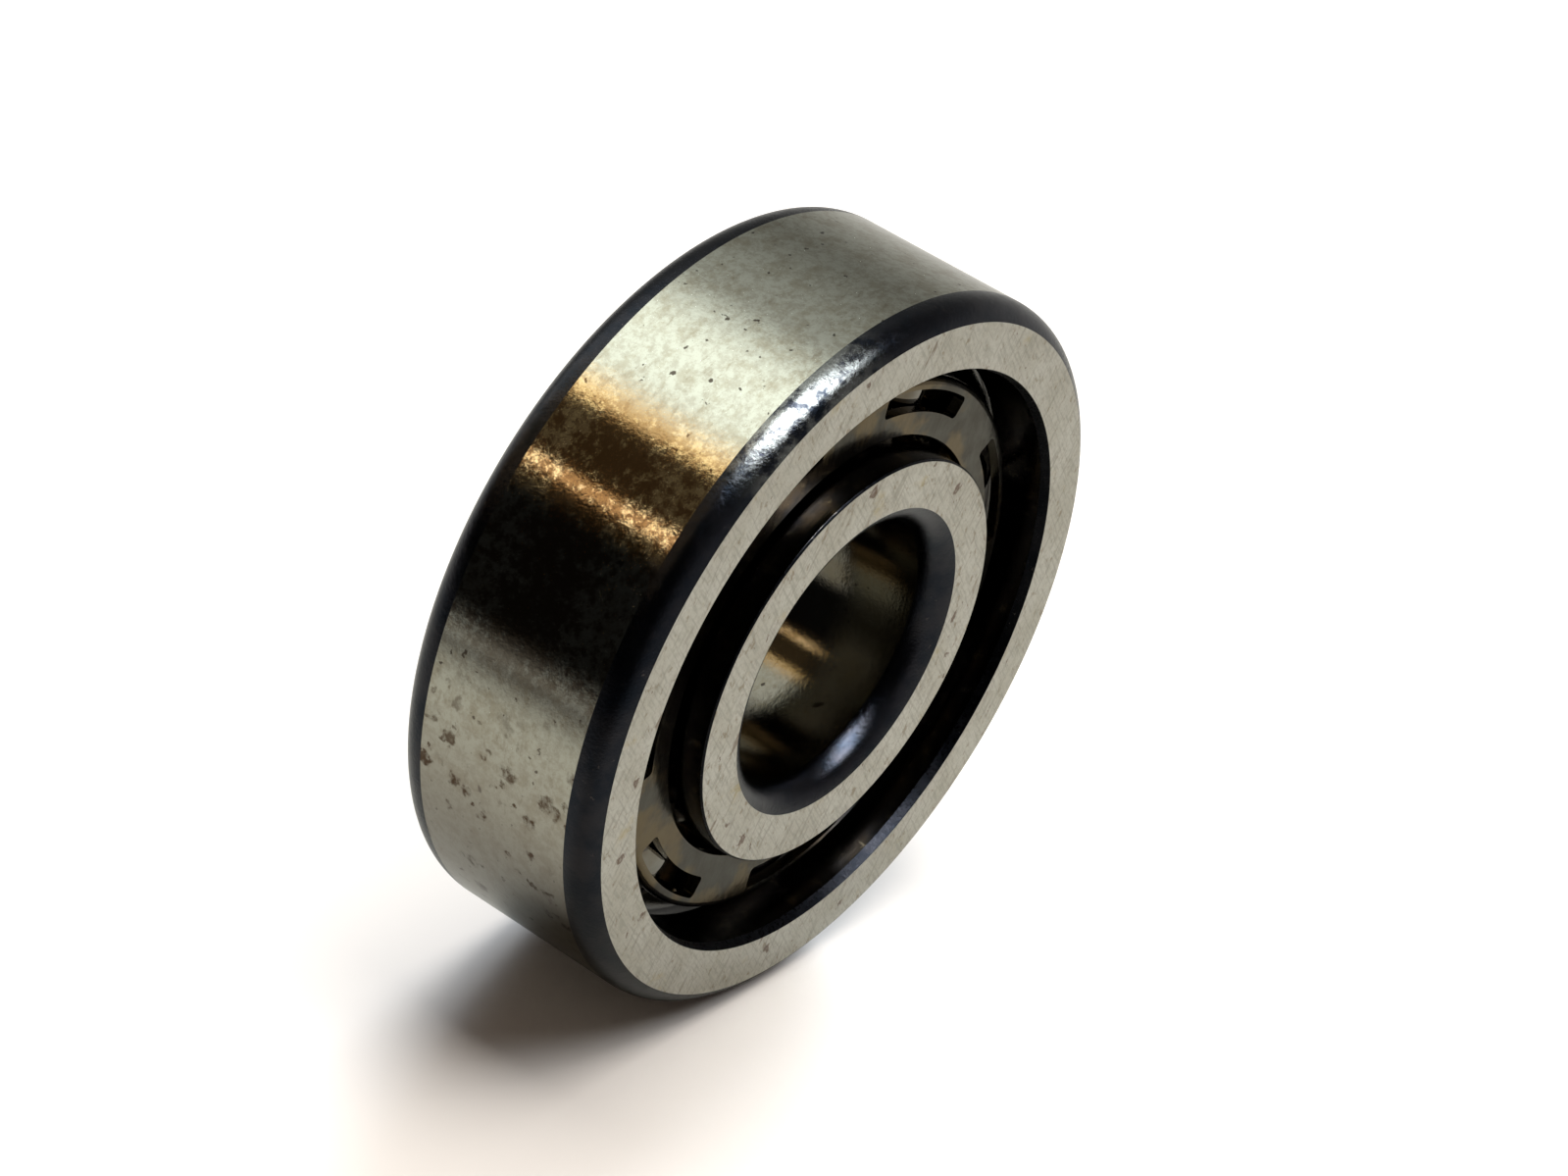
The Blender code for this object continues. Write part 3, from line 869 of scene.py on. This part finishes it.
def front_room(g, parts):
    """Tone of the room on the -Y side: pale low down, dark to the left, with a long lamp overhead."""
    low = g.band(parts["Z"], *FRONT_LOW_Z, 0.45, 0.15)
    shade = g.product(low, g.band(parts["X"], *FRONT_DARK_X, 0.08, 1.0))
    tone = g.mix(shade, colour(0.0, 0.0, 0.0), FRONT_TONE)
    # the lamp lies in the plane one unit above, where a direction passes at (across, along)
    rise = g.math("MAXIMUM", parts["Z"], LEAST_RISE)
    across = g.math("DIVIDE", parts["X"], rise)
    along = g.math("DIVIDE", parts["Y"], rise)
    aside = g.math("ABSOLUTE", g.math("SUBTRACT", across, g.band(along, *OVERHEAD_BEND)))
    lamp = g.product(g.band(aside, *OVERHEAD_HALF_WIDTH, 1.0, 0.0), g.band(along, *OVERHEAD_START))
    return g.mix(lamp, tone, OVERHEAD_TONE)


AMBIENT_TONE = (0.11, 0.083, 0.068, 1.0)
BACK_ROOM_START = (-0.05, 0.22)


def build_world():
    """A white studio, in which the steel reflects a room: dark on the left, with lamps above."""
    world = bpy.data.worlds.new("studio")
    bpy.context.scene.world = world
    # sampled as a light, the world would light the floor with the room's tones
    world.cycles.sampling_method = "NONE"
    g = Graph(world)
    direction = g.add("ShaderNodeTexCoord").outputs["Generated"]
    parts = parts_of(g, direction)
    side = g.band(parts["Y"], *BACK_ROOM_START)
    room = g.mix(side, front_room(g, parts), back_room(g, parts))
    path = g.add("ShaderNodeLightPath").outputs
    seen = g.mix(path["Is Glossy Ray"], AMBIENT_TONE, room)
    seen = g.mix(path["Is Camera Ray"], seen, colour(1.0, 1.0, 1.0))
    background = g.add("ShaderNodeBackground", {"Color": seen})
    output = g.add("ShaderNodeOutputWorld")
    g.tree.links.new(background.outputs[0], output.inputs[0])


CAMERA_AIM = Vector((0.952, -0.543, 0.872)) * MM
CAMERA_DISTANCE = 190.0 * MM
CAMERA_AZIMUTH = math.radians(-58.674)
CAMERA_ELEVATION = math.radians(31.354)
CAMERA_ROLL = math.radians(13.157)
CAMERA_LENS = 107.14
CAMERA_SENSOR = 36.0


def build_camera():
    """The camera, above and to the left of the bearing's -Y face."""
    data = bpy.data.cameras.new("camera")
    data.lens = CAMERA_LENS
    data.sensor_width = CAMERA_SENSOR
    data.clip_start = 0.01
    data.clip_end = 10.0
    camera = bpy.data.objects.new("camera", data)
    across = math.cos(CAMERA_ELEVATION)
    back = Vector(
        (
            math.sin(CAMERA_AZIMUTH) * across,
            -math.cos(CAMERA_AZIMUTH) * across,
            math.sin(CAMERA_ELEVATION),
        )
    )
    camera.location = CAMERA_AIM + back * CAMERA_DISTANCE
    camera.rotation_mode = "QUATERNION"
    roll = Quaternion((0.0, 0.0, 1.0), CAMERA_ROLL)
    camera.rotation_quaternion = back.to_track_quat("Z", "Y") @ roll
    bpy.context.scene.collection.objects.link(camera)
    bpy.context.scene.camera = camera


bpy.context.scene.view_settings.view_transform = "Standard"
build_bearing()
build_floor()
build_lights()
build_world()
build_camera()
bpy.context.view_layer.update()
